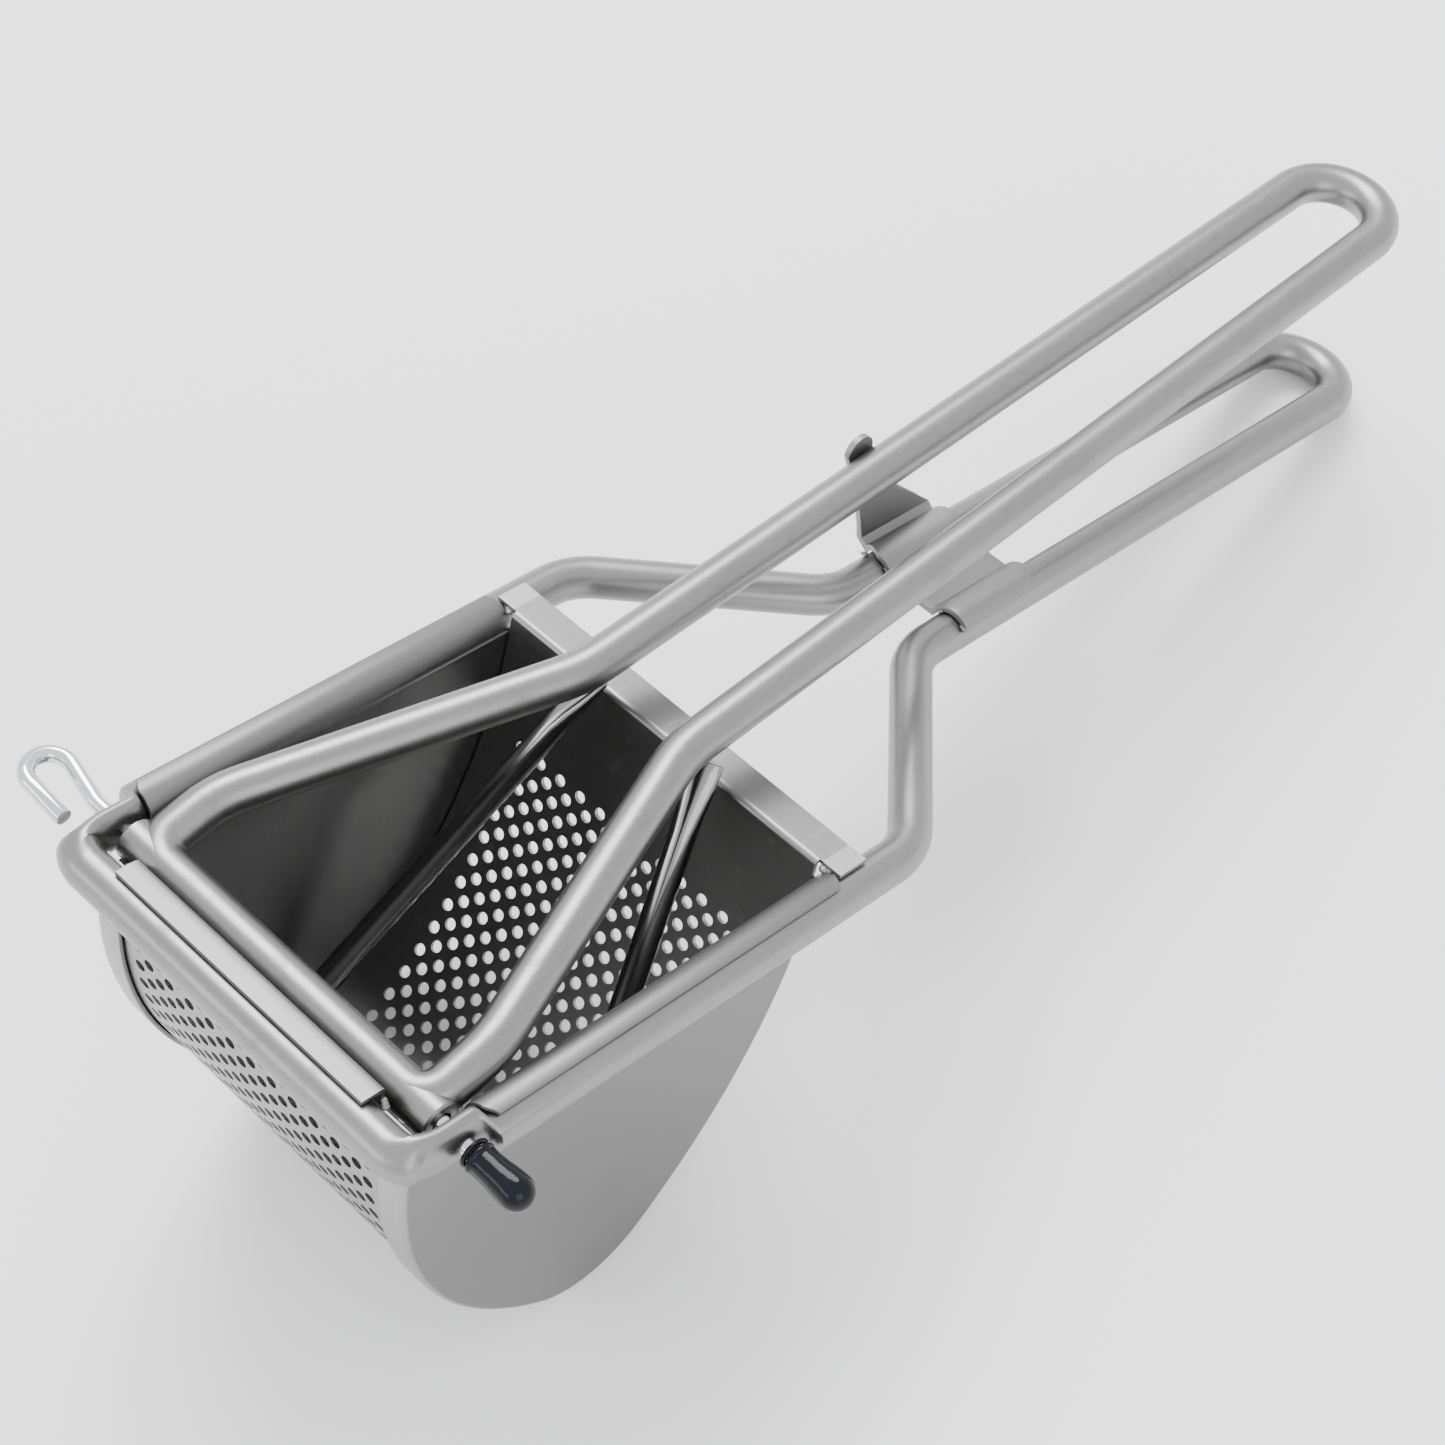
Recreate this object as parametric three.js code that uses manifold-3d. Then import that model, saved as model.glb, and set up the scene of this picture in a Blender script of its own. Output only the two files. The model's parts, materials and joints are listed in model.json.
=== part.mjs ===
// Potato ricer: a wedge-shaped perforated basket hung in a bent tube frame, and a
// press frame that swings in it on a removable pin across the front.
//
// Millimetres, +Z up. Everything is first laid out level, as if the basket's mouth
// were horizontal: X across, +Y from the front bar towards the handles, Z = 0 in the
// middle of the basket frame's tube. The whole is then leaned back by REST_LEAN, so
// that it lies as it does on a table, on the basket's round heel and on the end of
// the lower handle, with the origin at the middle of its footprint.

import * as THREE from 'three';
import { mergeVertices } from 'three/addons/utils/BufferGeometryUtils.js';
import Module from 'manifold-3d';

const wasm = await Module();
wasm.setup();

// ---------------------------------------------------------------- driving dimensions
const TUBE_R = 4;                // both frames are 8 mm tube
const SHEET = 0.8;               // basket sheet
const GAP = 0.3;                 // clearance between touching pieces

const OVERALL_LENGTH = 305;      // front bar to the end of the lower handle
const OVERALL_WIDTH = 95;        // over the basket frame's side rails
const OVERALL_HEIGHT = 85;       // rolled rim to the basket's heel

const RAIL_X = OVERALL_WIDTH / 2 - TUBE_R;
const HANDLE_X = 9.8;            // half the spacing of the lower handle's rails
const HANDLE_END_Y = OVERALL_LENGTH - 2 * TUBE_R;
const RAIL_BEND_Y = 116;         // the side rails turn inwards behind the basket
const HANDLE_BEND_Y = 154;       // and become the handle here
const CORNER_BEND = 7;
const PRESS_CORNER_BEND = 4.8;
const WAIST_BEND = 14;

const PIN_Y = 10.3;              // hinge axis, parallel to X at Z = 0
const PIN_R = 1.6;
const PIN_HOLE_R = 2;

const ROLL_R = TUBE_R + GAP + SHEET;   // outside of the sheet rolled over a rail
const WALL_X = RAIL_X - ROLL_R;        // inner face of a side plate
const SHEET_X = WALL_X - GAP;          // half width of the curved sheet

const EAR_X = 44;                // outer face of the pressed-flat hinge ears
const EAR_FROM_Y = 5.2;
const EAR_TO_Y = 14.2;

// Side profile of the basket, as the outside of the side plates' edge flanges.
const HEEL_Z = ROLL_R - OVERALL_HEIGHT;
const HEEL_R = 19.7;
const BACK_R = 108.7;
const BACK_CENTRE = new THREE.Vector2(-11, 0);
const FRONT_TOP = new THREE.Vector2(TUBE_R - SHEET, -6);
const FLANGE_WIDTH = 6.4;        // side plates' flanges over the curved sheet
const FRONT_STRIP_X = 31.5;      // half width of the strip folded over the front bar
const REAR_LIP_TO_Y = 103.5;     // flat lip along the rear of the mouth
const REAR_LIP_X = 43;           // it reaches out over both rails
const ROLL_TO_Y = 96.4;          // the rolled tops of the side plates stop before it

const PRESS_X = 34;              // half width of the press frame at its front
const PRESS_SHOULDER = new THREE.Vector3(PRESS_X, 24, 4.6);
const PRESS_WAIST = new THREE.Vector3(12.2, 86.5, 15.9);
const PRESS_END = new THREE.Vector3(10.2, 288.6, 47);
const PLATE_THICK = 1.2;
const BRACE_R = 2.5;

const TUBE_SIDES = 9;
const ARC_STEP = Math.PI / 20;   // one facet every nine degrees round a bend

const material = (color, roughness, metalness) =>
  new THREE.MeshStandardMaterial({ color, roughness, metalness });
const TUBE_STEEL = material(0x9c9a97, 0.38, 1);
const SHEET_STEEL = material(0xa3a1a0, 0.42, 1);
const BRIGHT_STEEL = material(0xc9c9cc, 0.12, 1);
const VINYL = material(0x14161f, 0.25, 0);

// ---------------------------------------------------------------- solids from geometry
function solid(geometry) {
  const bare = geometry.index ? geometry.toNonIndexed() : geometry.clone();
  bare.deleteAttribute('normal');
  bare.deleteAttribute('uv');
  const merged = mergeVertices(bare, 1e-4);
  return new wasm.Manifold(new wasm.Mesh({
    numProp: 3,
    vertProperties: Float32Array.from(merged.attributes.position.array),
    triVerts: Uint32Array.from(merged.index.array),
  }));
}

function geometryOf(manifold) {
  const mesh = manifold.getMesh();
  const geometry = new THREE.BufferGeometry();
  geometry.setAttribute('position', new THREE.BufferAttribute(mesh.vertProperties, 3));
  geometry.setIndex(new THREE.BufferAttribute(mesh.triVerts, 1));
  geometry.computeVertexNormals();
  return geometry;
}

function box(low, high) {
  const geometry = new THREE.BoxGeometry(high[0] - low[0], high[1] - low[1], high[2] - low[2]);
  geometry.translate((low[0] + high[0]) / 2, (low[1] + high[1]) / 2, (low[2] + high[2]) / 2);
  return solid(geometry);
}

// A round bar along X, for bores and plain rods.
function barAlongX(radius, fromX, toX, y, z, sides = 24) {
  const geometry = new THREE.CylinderGeometry(radius, radius, toX - fromX, sides);
  geometry.rotateZ(Math.PI / 2);
  geometry.translate((fromX + toX) / 2, y, z);
  return solid(geometry);
}

// A (y, z) outline stretched from one x to another.
function slab(outline, fromX, toX) {
  const geometry = new THREE.ExtrudeGeometry(new THREE.Shape(outline), {
    depth: toX - fromX, bevelEnabled: false,
  });
  geometry.applyMatrix4(new THREE.Matrix4().set(
    0, 0, 1, fromX,
    1, 0, 0, 0,
    0, 1, 0, 0,
    0, 0, 0, 1));
  return solid(geometry);
}

const mirrored = (manifold) => manifold.mirror([1, 0, 0]);

// ---------------------------------------------------------------- bent tube
// A path of straight runs with a round bend at each corner. Its stations sit only where
// the path turns, so straight runs stay one facet long.
class BentPath extends THREE.Curve {
  constructor(corners, bends) {
    super();
    this.stations = [];
    this.tangents = [];
    const last = corners.length - 1;
    const add = (point, tangent) => {
      this.stations.push(point);
      this.tangents.push(tangent.clone().normalize());
    };
    add(corners[0], corners[1].clone().sub(corners[0]));
    for (let i = 1; i < last; i += 1) {
      const into = corners[i].clone().sub(corners[i - 1]).normalize();
      const out = corners[i + 1].clone().sub(corners[i]).normalize();
      const turn = into.angleTo(out);
      const setback = bends[i - 1] * Math.tan(turn / 2);
      const start = corners[i].clone().addScaledVector(into, -setback);
      const inward = out.clone().addScaledVector(into, -out.dot(into)).normalize();
      const centre = start.clone().addScaledVector(inward, bends[i - 1]);
      const steps = Math.max(3, Math.ceil(turn / ARC_STEP));
      for (let step = 0; step <= steps; step += 1) {
        const angle = turn * step / steps;
        const point = centre.clone()
          .addScaledVector(inward, -bends[i - 1] * Math.cos(angle))
          .addScaledVector(into, bends[i - 1] * Math.sin(angle));
        add(point, into.clone().multiplyScalar(Math.cos(angle))
          .addScaledVector(inward, Math.sin(angle)));
      }
    }
    add(corners[last], corners[last].clone().sub(corners[last - 1]));
  }

  getSpacedPoints() {
    return this.stations;
  }

  computeFrenetFrames() {
    const frames = { tangents: this.tangents, normals: [], binormals: [] };
    const normal = new THREE.Vector3(0, 0, 1).cross(this.tangents[0]);
    for (const tangent of this.tangents) {
      normal.addScaledVector(tangent, -normal.dot(tangent)).normalize();
      frames.normals.push(normal.clone());
      frames.binormals.push(new THREE.Vector3().crossVectors(tangent, normal));
    }
    return frames;
  }
}

function bentTube(corners, bends, radius = TUBE_R, sides = TUBE_SIDES) {
  const path = new BentPath(corners, bends);
  const section = new THREE.Shape();
  section.absarc(0, 0, radius, 0, 2 * Math.PI, false);
  return solid(new THREE.ExtrudeGeometry(section, {
    steps: path.stations.length - 1,
    curveSegments: sides,
    extrudePath: path,
    bevelEnabled: false,
  }));
}

const SEAM = 0.05;               // the two halves of a frame overlap by this at X = 0

// One half of a symmetrical frame is bent, mirrored, and the two are joined.
function symmetricFrame(corners, bends) {
  const half = bentTube(corners, bends);
  return half.add(mirrored(half));
}

// ---------------------------------------------------------------- basket side profile
// Three arcs, each tangent to the next: front wall, heel and back. `inset` moves the
// outline towards the inside of the basket.
const heelCentre = new THREE.Vector2(0, HEEL_Z + HEEL_R);
heelCentre.x = BACK_CENTRE.x
  + Math.sqrt((BACK_R - HEEL_R) ** 2 - (heelCentre.y - BACK_CENTRE.y) ** 2);
const across = heelCentre.x - FRONT_TOP.x;
const below = heelCentre.y - FRONT_TOP.y;
const FRONT_R = (across ** 2 + below ** 2 - HEEL_R ** 2) / (2 * (across - HEEL_R));
const frontCentre = new THREE.Vector2(FRONT_TOP.x + FRONT_R, FRONT_TOP.y);
const MOUTH_BACK_Y = BACK_CENTRE.x + BACK_R;

function arc(centre, radius, from, to) {
  const turn = Math.abs(to - from);
  const steps = Math.ceil(Math.max(turn * radius / 4, turn / (Math.PI / 12)));
  return Array.from({ length: steps + 1 }, (_, i) => {
    const angle = from + (to - from) * i / steps;
    return new THREE.Vector2(
      centre.x + radius * Math.cos(angle), centre.y + radius * Math.sin(angle));
  });
}

const frontMeet = Math.atan2(heelCentre.y - frontCentre.y, heelCentre.x - frontCentre.x);
const backMeet = Math.atan2(heelCentre.y - BACK_CENTRE.y, heelCentre.x - BACK_CENTRE.x);

function profile(inset) {
  return [
    ...arc(frontCentre, FRONT_R - inset, -Math.PI, frontMeet),
    ...arc(heelCentre, HEEL_R - inset, frontMeet, backMeet).slice(1),
    ...arc(BACK_CENTRE, BACK_R - inset, backMeet, 0).slice(1),
  ];
}

// A sheet that follows the profile, between two insets.
const profileBand = (outerInset, innerInset) => [
  ...profile(outerInset), ...profile(innerInset).reverse(),
];

// ---------------------------------------------------------------- basket frame
function makeBasketFrame() {
  const frame = symmetricFrame([
    new THREE.Vector3(-SEAM, 0, 0),
    new THREE.Vector3(RAIL_X, 0, 0),
    new THREE.Vector3(RAIL_X, RAIL_BEND_Y, 0),
    new THREE.Vector3(HANDLE_X, HANDLE_BEND_Y, 0),
    new THREE.Vector3(HANDLE_X, HANDLE_END_Y, 0),
    new THREE.Vector3(-SEAM, HANDLE_END_Y, 0),
  ], [CORNER_BEND, WAIST_BEND, WAIST_BEND, HANDLE_X]);
  // The tube is pressed flat from outside where the pin passes, and its bar is pressed
  // in beside each corner to make room for the press frame.
  const ear = box([EAR_X, EAR_FROM_Y, -6], [50, EAR_TO_Y, 6]);
  const dimple = box([WALL_X - 1, 0.8, -6], [RAIL_X - TUBE_R, 7, 6]);
  const hole = barAlongX(PIN_HOLE_R, -60, 60, PIN_Y, 0);
  return frame
    .subtract(ear).subtract(mirrored(ear))
    .subtract(dimple).subtract(mirrored(dimple))
    .subtract(hole);
}

// ---------------------------------------------------------------- basket sheets
// Sheet rolled over a tube at the origin of its own (across, up) plane, from the wall
// side over the crest.
function rollOutline(fromAngle, toAngle) {
  const centre = new THREE.Vector2(0, 0);
  return [
    ...arc(centre, ROLL_R, fromAngle, toAngle),
    ...arc(centre, ROLL_R - SHEET, toAngle, fromAngle),
  ];
}

const ROLL_END = THREE.MathUtils.degToRad(74);
const ROLL_START = THREE.MathUtils.degToRad(180);

function makeSidePlate() {
  const top = FRONT_TOP.y + 1;
  const outline = profile(0).filter((point) => point.y < top);
  const plate = slab([
    ...outline,
    new THREE.Vector2(MOUTH_BACK_Y, 0),
    new THREE.Vector2(EAR_TO_Y + GAP, 0),
    new THREE.Vector2(EAR_TO_Y + GAP, top),
    new THREE.Vector2(FRONT_TOP.x, top),
  ], WALL_X, WALL_X + SHEET);
  const flange = slab(
    profileBand(0, SHEET), WALL_X - FLANGE_WIDTH, WALL_X + SHEET);
  const roll = new THREE.ExtrudeGeometry(
    new THREE.Shape(rollOutline(ROLL_START + 0.02, ROLL_END)),
    { depth: ROLL_TO_Y - EAR_TO_Y - GAP, bevelEnabled: false });
  roll.rotateX(Math.PI / 2);
  roll.translate(RAIL_X, ROLL_TO_Y, 0);
  return plate.add(flange).add(solid(roll));
}

function makeRicingSheet() {
  const outer = SHEET + GAP;
  const inner = outer + SHEET;
  const wall = slab(profileBand(outer, inner), -SHEET_X, SHEET_X);
  const frontFace = FRONT_TOP.x + outer;
  const under = ROLL_R - SHEET;
  const frontRise = box([-FRONT_STRIP_X, frontFace, FRONT_TOP.y - 0.1],
    [FRONT_STRIP_X, frontFace + SHEET, ROLL_R]);
  const frontStrip = box([-FRONT_STRIP_X, 0, under], [FRONT_STRIP_X, frontFace + SHEET, ROLL_R]);
  const backFace = MOUTH_BACK_Y - inner;
  const backRise = box([-SHEET_X, backFace, -0.1], [SHEET_X, backFace + SHEET, ROLL_R]);
  const lip = box([-SHEET_X, backFace, under], [SHEET_X, REAR_LIP_TO_Y, ROLL_R]);
  const lipEnds = box([-REAR_LIP_X, ROLL_TO_Y + 0.5, under],
    [REAR_LIP_X, REAR_LIP_TO_Y, ROLL_R]);
  return wall.add(frontRise).add(frontStrip).add(backRise).add(lip).add(lipEnds);
}

// ---------------------------------------------------------------- bridge plate
// One pressing across the lower handle where its rails become parallel, grooved over
// both rails. On the left a tall tapered tongue stands up beside the press frame and
// keeps it in line.
const BRIDGE_THICK = 1.2;
const BRIDGE_WEB_Z = 2.4;
const BRIDGE_FRONT_Y = 163.5;
const BRIDGE_BACK_Y = 187.5;
const TONGUE_X = 15.8;           // inner face, just outside the press frame's rail
const TONGUE_TIP = new THREE.Vector2(159.2, 28.9);
const TONGUE_TIP_R = 3.3;

function makeBridgePlate() {
  const inner = TUBE_R + GAP;
  const outer = inner + BRIDGE_THICK;
  const lower = BRIDGE_WEB_Z - BRIDGE_THICK;
  const edge = THREE.MathUtils.degToRad(50);
  const left = new THREE.Vector2(-HANDLE_X, 0);
  const right = new THREE.Vector2(HANDLE_X, 0);
  const crease = (radius, level) => Math.asin(level / radius);
  const section = new THREE.Shape([
    new THREE.Vector2(-TONGUE_X, BRIDGE_WEB_Z + 1),
    ...arc(left, outer, Math.PI - crease(outer, 3), crease(outer, BRIDGE_WEB_Z)),
    ...arc(right, outer, Math.PI - crease(outer, BRIDGE_WEB_Z), edge),
    ...arc(right, inner, edge, Math.PI - crease(inner, lower)),
    ...arc(left, inner, crease(inner, lower), Math.PI - crease(inner, lower)),
    new THREE.Vector2(-TONGUE_X - BRIDGE_THICK + 0.6, lower),
    new THREE.Vector2(-TONGUE_X - BRIDGE_THICK, lower + 0.6),
    new THREE.Vector2(-TONGUE_X - BRIDGE_THICK, BRIDGE_WEB_Z + 1),
  ]);
  const pressing = new THREE.ExtrudeGeometry(section, { depth: 30, bevelEnabled: false });
  pressing.rotateX(Math.PI / 2);
  pressing.translate(0, BRIDGE_BACK_Y + 4, 0);

  const plan = new THREE.Shape();
  plan.moveTo(HANDLE_X + 7, BRIDGE_FRONT_Y + 1);
  plan.lineTo(HANDLE_X + 7, BRIDGE_BACK_Y - 6);
  plan.absarc(HANDLE_X - 0.5, BRIDGE_BACK_Y - 6, 6, 0, Math.PI / 2, false);
  plan.lineTo(-TONGUE_X - 3, BRIDGE_BACK_Y - 1);
  plan.lineTo(-TONGUE_X - 3, BRIDGE_FRONT_Y + 4);
  plan.lineTo(-HANDLE_X, BRIDGE_FRONT_Y + 1);
  plan.absarc(0, BRIDGE_FRONT_Y + 1, 3.2, Math.PI, 0, true);
  const blank = new THREE.ExtrudeGeometry(plan, { depth: 20, bevelEnabled: false });
  blank.translate(0, 0, -8);

  const tongue = slab([
    new THREE.Vector2(BRIDGE_FRONT_Y + 4, lower + 0.7),
    new THREE.Vector2(BRIDGE_BACK_Y - 1, lower + 0.7),
    new THREE.Vector2(BRIDGE_BACK_Y - 1, BRIDGE_WEB_Z + 1.5),
    new THREE.Vector2(173, 14.7),
    ...arc(TONGUE_TIP, TONGUE_TIP_R, THREE.MathUtils.degToRad(-20),
      THREE.MathUtils.degToRad(205)),
    new THREE.Vector2(164, 12),
  ], -TONGUE_X - BRIDGE_THICK, -TONGUE_X);
  return solid(pressing).intersect(solid(blank)).add(tongue);
}

// ---------------------------------------------------------------- press frame and plate
function makePressFrame() {
  const frame = symmetricFrame([
    new THREE.Vector3(-SEAM, PIN_Y, 0),
    new THREE.Vector3(PRESS_X, PIN_Y, 0),
    PRESS_SHOULDER,
    PRESS_WAIST,
    PRESS_END,
    new THREE.Vector3(-SEAM, PRESS_END.y, PRESS_END.z),
  ], [PRESS_CORNER_BEND, 25, 25, PRESS_END.x]);
  // The bar is the hinge barrel: its ends are squared off inside the ears and it is
  // bored through. The left rail starts as a cut tube end, so a notch shows there.
  const end = bentTube([
    new THREE.Vector3(PRESS_X - PRESS_CORNER_BEND, PIN_Y, 0),
    new THREE.Vector3(SHEET_X, PIN_Y, 0),
  ], []);
  const bore = barAlongX(PIN_HOLE_R, -60, 60, PIN_Y, 0);
  const notch = box([-PRESS_X + 2.2, PIN_Y + 4.6, -1.5], [-PRESS_X + 6.5, PIN_Y + 8.2, 8]);
  return frame.add(end).add(mirrored(end)).subtract(bore).subtract(notch);
}

// Nested just inside the front wall, down to the heel.
const PLATE_INSET = 2 * SHEET + GAP + 0.7;
const PLATE_REACH = MOUTH_BACK_Y - 2 * SHEET - GAP - 0.9 - PIN_Y;
const PLATE_TOP_Z = -2.7;

function makePressPlate() {
  const band = slab(
    profileBand(PLATE_INSET, PLATE_INSET + PLATE_THICK), -SHEET_X + 0.4, SHEET_X - 0.4);
  const top = box([-SHEET_X + 0.4, FRONT_TOP.x + PLATE_INSET, FRONT_TOP.y - 0.1],
    [SHEET_X - 0.4, FRONT_TOP.x + PLATE_INSET + PLATE_THICK, PLATE_TOP_Z]);
  const reach = barAlongX(PLATE_REACH, -60, 60, PIN_Y, 0, 96);
  const keep = box([-60, -20, -100], [60, heelCentre.x - 5, 10]);
  return band.add(top).intersect(reach).intersect(keep);
}

const BRACE_FOOT = new THREE.Vector3(34.2, 47.2, -70.2);
const BRACE_HEAD = new THREE.Vector3(13.3, 93.1, 11.0);

function makeBrace() {
  return bentTube([BRACE_FOOT, BRACE_HEAD], [], BRACE_R, 7);
}

// ---------------------------------------------------------------- pin, ring and cap
const RING_X = EAR_X + 1.2;
const CAP_X = RING_X + 1.2;
const CAP_LENGTH = 12;
const CAP_R = 3.2;
const PIN_END_X = CAP_X + 8.5;

function makePin() {
  return bentTube([
    new THREE.Vector3(PIN_END_X, PIN_Y, 0),
    new THREE.Vector3(-RAIL_X - 4.5, PIN_Y, 0),
    new THREE.Vector3(-RAIL_X - 20.5, PIN_Y + 3.4, 1),
    new THREE.Vector3(-RAIL_X - 16.5, PIN_Y - 6.6, 1.2),
    new THREE.Vector3(-RAIL_X - 4.3, PIN_Y - 6.8, 0.6),
  ], [6, 3.9, 4.6], PIN_R, 6);
}

function lathed(points, fromX) {
  const geometry = new THREE.LatheGeometry(points, 24);
  geometry.rotateZ(-Math.PI / 2);
  geometry.translate(fromX, PIN_Y, 0);
  return solid(geometry);
}

function makeRing() {
  const hole = PIN_R + 0.25;
  return lathed([
    new THREE.Vector2(hole, 0), new THREE.Vector2(2.9, 0),
    new THREE.Vector2(2.9, 0.9), new THREE.Vector2(hole, 0.9),
    new THREE.Vector2(hole, 0),
  ], RING_X);
}

function makeCap() {
  const bore = PIN_R + GAP;
  const floor = PIN_END_X + GAP - CAP_X;
  const dome = arc(new THREE.Vector2(0, CAP_LENGTH - CAP_R), CAP_R, 0, Math.PI / 2);
  return lathed([
    new THREE.Vector2(0, floor), new THREE.Vector2(bore, floor),
    new THREE.Vector2(bore, 0), new THREE.Vector2(CAP_R, 0),
    ...dome.slice(0, -1), new THREE.Vector2(0, CAP_LENGTH),
  ], CAP_X);
}

// ---------------------------------------------------------------- assembly
const sidePlate = makeSidePlate();
const brace = makeBrace();
const pieces = [
  ['basket_frame', makeBasketFrame(), TUBE_STEEL],
  ['side_plate_right', sidePlate, SHEET_STEEL],
  ['side_plate_left', mirrored(sidePlate), SHEET_STEEL],
  ['ricing_sheet', makeRicingSheet(), SHEET_STEEL],
  ['bridge_plate', makeBridgePlate(), SHEET_STEEL],
  ['press_frame', makePressFrame(), TUBE_STEEL],
  ['press_plate', makePressPlate(), SHEET_STEEL],
  ['brace_right', brace, TUBE_STEEL],
  ['brace_left', mirrored(brace), TUBE_STEEL],
  ['hinge_pin', makePin(), BRIGHT_STEEL],
  ['pin_ring', makeRing(), VINYL],
  ['pin_cap', makeCap(), VINYL],
];

// Lean the ricer back until the heel and the end of the lower handle share one level.
const toHandle = new THREE.Vector2(HANDLE_END_Y, 0).sub(heelCentre);
const REST_LEAN = Math.atan2(toHandle.y, toHandle.x)
  + Math.asin((HEEL_R - TUBE_R) / toHandle.length());

const ricer = new THREE.Group();
for (const [name, manifold, finish] of pieces) {
  const mesh = new THREE.Mesh(geometryOf(manifold), finish);
  mesh.name = name;
  ricer.add(mesh);
}
ricer.rotation.x = -REST_LEAN;
ricer.updateMatrixWorld(true);
const footprint = new THREE.Box3().setFromObject(ricer, true);
const middle = footprint.getCenter(new THREE.Vector3());
ricer.position.set(-middle.x, -middle.y, -footprint.min.z);

export default ricer;
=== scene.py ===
# Looks of a potato ricer: a perforated basket in a bent tube frame, and a hinged press
# frame on a wire pin. Pieces are modelled in millimetres in the level position, with
# the basket's mouth horizontal (X across, +Y towards the handles, Z = 0 in the middle
# of the basket frame's tube), and then leaned back onto the table like the CAD.
import json
import math

import bmesh
import bpy
from mathutils import Matrix, Vector


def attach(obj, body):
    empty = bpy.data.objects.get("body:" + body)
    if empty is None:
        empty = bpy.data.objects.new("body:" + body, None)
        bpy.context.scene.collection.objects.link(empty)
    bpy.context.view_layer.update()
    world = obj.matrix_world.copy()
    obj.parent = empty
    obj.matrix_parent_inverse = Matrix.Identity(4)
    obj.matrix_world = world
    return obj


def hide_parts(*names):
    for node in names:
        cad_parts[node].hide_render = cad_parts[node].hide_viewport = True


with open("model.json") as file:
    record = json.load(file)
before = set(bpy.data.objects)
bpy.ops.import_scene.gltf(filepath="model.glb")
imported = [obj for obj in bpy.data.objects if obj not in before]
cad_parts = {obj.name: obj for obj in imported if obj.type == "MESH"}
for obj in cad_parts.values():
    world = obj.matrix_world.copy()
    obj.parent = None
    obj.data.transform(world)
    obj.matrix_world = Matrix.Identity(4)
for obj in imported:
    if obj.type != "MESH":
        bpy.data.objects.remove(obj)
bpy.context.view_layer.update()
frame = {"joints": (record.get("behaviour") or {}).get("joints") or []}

# ------------------------------------------------------------------ driving dimensions
TUBE_R = 4.0
SHEET = 0.8
GAP = 0.3
RAIL_X = 43.5                     # half the spacing of the basket frame's side rails
HANDLE_X = 9.8                    # and of the lower handle's rails
HANDLE_END_Y = 297.0
RAIL_BEND_Y = 116.0
HANDLE_BEND_Y = 154.0
CORNER_BEND = 7.0
PRESS_CORNER_BEND = 4.8
PRESS_BEND = 25
WAIST_BEND = 14.0
END_SLIVER = 0.01                 # keeps a bend off the plane it is mirrored in

PIN_Y = 10.3
PIN_R = 1.6
PIN_HOLE_R = 2.0

ROLL_R = TUBE_R + GAP + SHEET     # outside of the sheet rolled over a rail
WALL_X = RAIL_X - ROLL_R          # inner face of a side plate
SHEET_X = WALL_X - GAP            # half width of the curved sheet

EAR_MIDDLE_X = 41.75              # the pressed-flat hinge ears
EAR_HALF_THICK = 2.25
EAR_HALF_HEIGHT = 5.1
EAR_FROM_Y = -2.5
EAR_TO_Y = 14.2
EAR_FROM_X = 36.0

HEEL_R = 19.7
HEEL_Z = ROLL_R - 84.97
BACK_R = 108.7
BACK_CENTRE = Vector((-11.0, 0.0))
FRONT_TOP = Vector((TUBE_R - SHEET, -6.0))
FLANGE_WIDTH = 6.4
REAR_LIP_TO_Y = 103.5             # the flat lip behind the mouth
REAR_LIP_X = 43.0                 # reaches out over both rails
ROLL_TO_Y = 96.4                  # the side plates' rolled tops stop before it

PRESS_X = 34.0
PRESS_SHOULDER = Vector((PRESS_X, 24.0, 4.6))
PRESS_WAIST = Vector((12.2, 86.5, 15.9))
PRESS_END = Vector((10.2, 288.58, 47.0))
PLATE_THICK = 1.2
PLATE_FRONT_GAP = 0.7             # between the press plate and the front wall
PLATE_BACK_GAP = 0.9              # and between its free edge and the back wall
PLATE_SIDE_GAP = 0.4
PLATE_TOP_Z = -2.7
BRACE_FOOT = Vector((34.2, 47.2, -70.2))
BRACE_HEAD = Vector((13.3, 93.1, 11.0))
BRACE_R = 2.5

# ------------------------------------------------------------------ basket side profile
def basket_profile():
    """Centres and angles of the front wall, heel and back, each tangent to the next."""
    heel = Vector((0.0, HEEL_Z + HEEL_R))
    heel.x = BACK_CENTRE.x + math.sqrt((BACK_R - HEEL_R) ** 2 - (heel.y - BACK_CENTRE.y) ** 2)
    across = heel.x - FRONT_TOP.x
    below = heel.y - FRONT_TOP.y
    front_r = (across ** 2 + below ** 2 - HEEL_R ** 2) / (2 * (across - HEEL_R))
    front = Vector((FRONT_TOP.x + front_r, FRONT_TOP.y))
    to_front = heel - front
    to_back = heel - BACK_CENTRE
    front_meet = math.atan2(to_front.y, to_front.x)
    back_meet = math.atan2(to_back.y, to_back.x)
    return heel, [
        (front, front_r, -math.pi, front_meet),
        (heel, HEEL_R, front_meet, back_meet),
        (BACK_CENTRE, BACK_R, back_meet, 0.0),
    ]


heel_centre, PROFILE_ARCS = basket_profile()
MOUTH_BACK_Y = BACK_CENTRE.x + BACK_R

to_handle = Vector((HANDLE_END_Y, 0.0)) - heel_centre
REST_LEAN = (math.atan2(to_handle.y, to_handle.x)
             + math.asin((HEEL_R - TUBE_R) / to_handle.length))

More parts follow.
